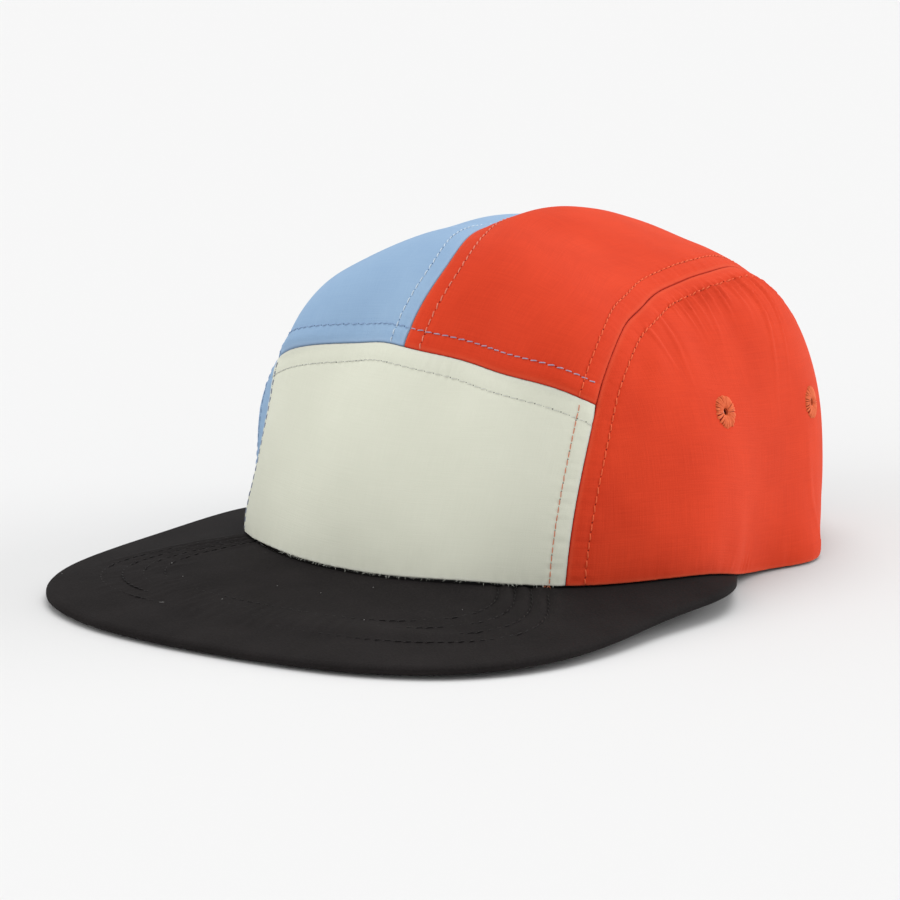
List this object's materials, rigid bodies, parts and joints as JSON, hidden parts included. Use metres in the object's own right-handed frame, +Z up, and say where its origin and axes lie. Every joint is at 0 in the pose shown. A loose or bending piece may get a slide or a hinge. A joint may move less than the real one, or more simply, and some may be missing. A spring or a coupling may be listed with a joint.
{
  "type": "five panel cap",
  "caption": "Low soft cap with a seamed cloth crown, a flat front panel, side vent eyelets, a wide flat visor, an inner sweatband and an arched back opening with a strap.",
  "frame": {"origin": "under the middle of the cap, on the surface that it rests on", "axes": "-Y points out over the visor, +X to the wearer's left, +Z up"},
  "size_m": [0.1939, 0.2662, 0.1103],
  "materials": {
    "off_white_cloth": "plain woven cotton twill, matt",
    "orange_red_cloth": "plain woven cotton twill, matt",
    "light_blue_cloth": "plain woven cotton twill, matt",
    "black_cloth": "smooth woven cloth over a stiff board, matt",
    "black_lining": "folded cotton band, matt",
    "black_webbing": "woven webbing",
    "black_plastic": "satin moulded plastic",
    "coral_thread": "satin stitched thread",
    "blue_thread": "satin stitched thread"
  },
  "bodies": {
    "root": {"front_panel": "off_white_cloth", "top_panel_left": "orange_red_cloth", "top_panel_right": "light_blue_cloth", "side_panel_left": "orange_red_cloth", "side_panel_right": "light_blue_cloth", "visor": "black_cloth", "sweatband": "black_lining", "back_strap": "black_webbing", "strap_buckle": "black_plastic", "eyelet_left_front": "coral_thread", "eyelet_left_rear": "coral_thread", "eyelet_right_front": "blue_thread", "eyelet_right_rear": "blue_thread"}
  },
  "joints": []
}
